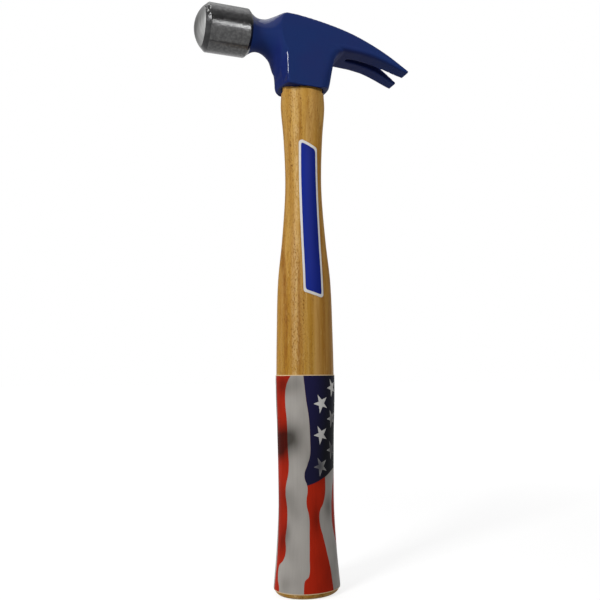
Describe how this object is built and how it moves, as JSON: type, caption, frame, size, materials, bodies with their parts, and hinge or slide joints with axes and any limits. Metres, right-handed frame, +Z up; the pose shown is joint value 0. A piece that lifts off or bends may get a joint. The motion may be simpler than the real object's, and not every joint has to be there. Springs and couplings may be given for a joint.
{
  "type": "rip hammer",
  "caption": "Rip hammer with a blue painted forged head, bare crowned poll, straight split claws and an oval wooden handle with a printed grip film.",
  "frame": {"origin": "centre of the flat butt end, on the handle's axis", "axes": "+Z up the handle towards the head, +X towards the claws, -X towards the striking face, -Y the side with the label"},
  "size_m": [0.1166, 0.0274, 0.2969],
  "materials": {
    "blue_paint": "gloss",
    "bare_steel": "satin, ground",
    "hickory": "clear lacquer",
    "wedge_wood": "raw end grain",
    "label_print": "gloss",
    "film_print": "gloss, stars and stripes"
  },
  "bodies": {
    "root": {"head": "blue_paint", "handle": "hickory", "wood_wedge": "wedge_wood", "steel_wedge_front": "bare_steel", "steel_wedge_rear": "bare_steel", "label": "label_print", "grip_film": "film_print"}
  },
  "joints": []
}
